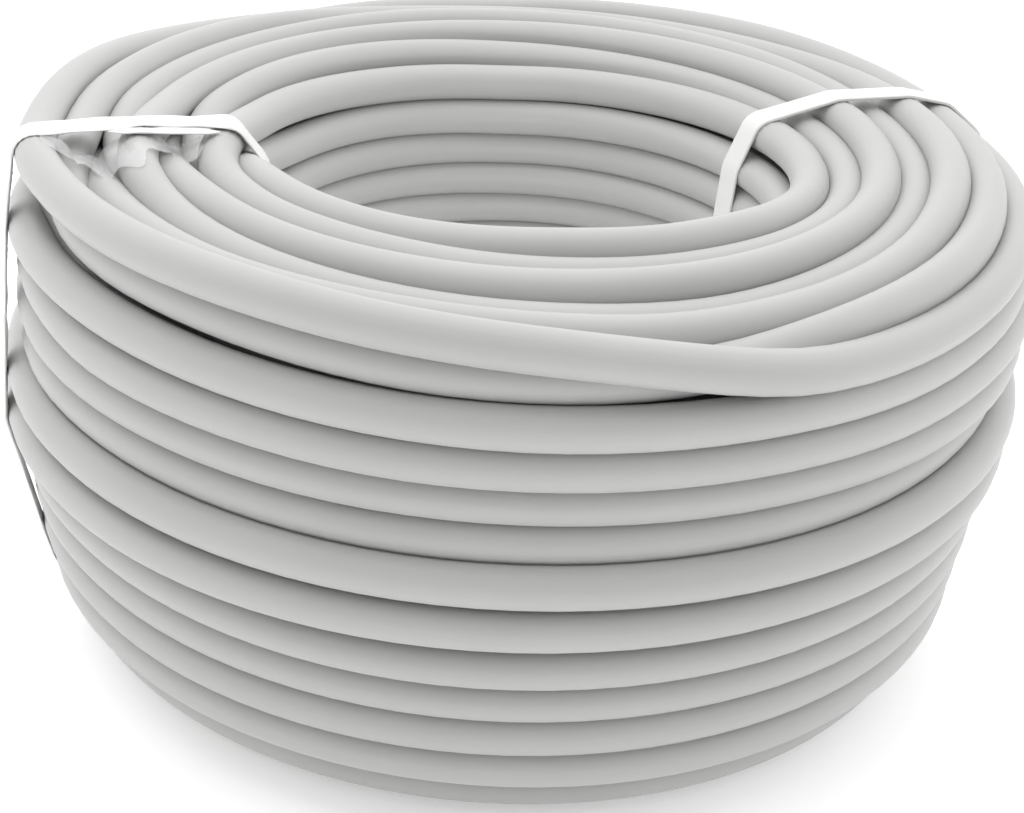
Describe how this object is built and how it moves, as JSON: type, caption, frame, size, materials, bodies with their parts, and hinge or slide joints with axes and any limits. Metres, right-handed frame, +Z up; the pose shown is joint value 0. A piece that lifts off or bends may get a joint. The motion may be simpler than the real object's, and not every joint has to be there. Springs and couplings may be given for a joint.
{
  "type": "coil of twisted pair cable",
  "caption": "Round coil of shielded data cable, wound without a reel, bound with a flat strap and a film tie, standing on its end.",
  "frame": {"origin": "on the axis of the winding, on the plane the coil stands on", "axes": "+Z up along the axis of the winding, -Y towards the picture's viewer"},
  "size_m": [0.1974, 0.1974, 0.0991],
  "materials": {
    "jacket": "satin extruded jacket",
    "strap": "smooth extruded strap",
    "film": "gathered stretch film"
  },
  "bodies": {
    "root": {"cable_coil": "jacket", "flat_strap": "strap", "film_tie": "film"}
  },
  "joints": []
}
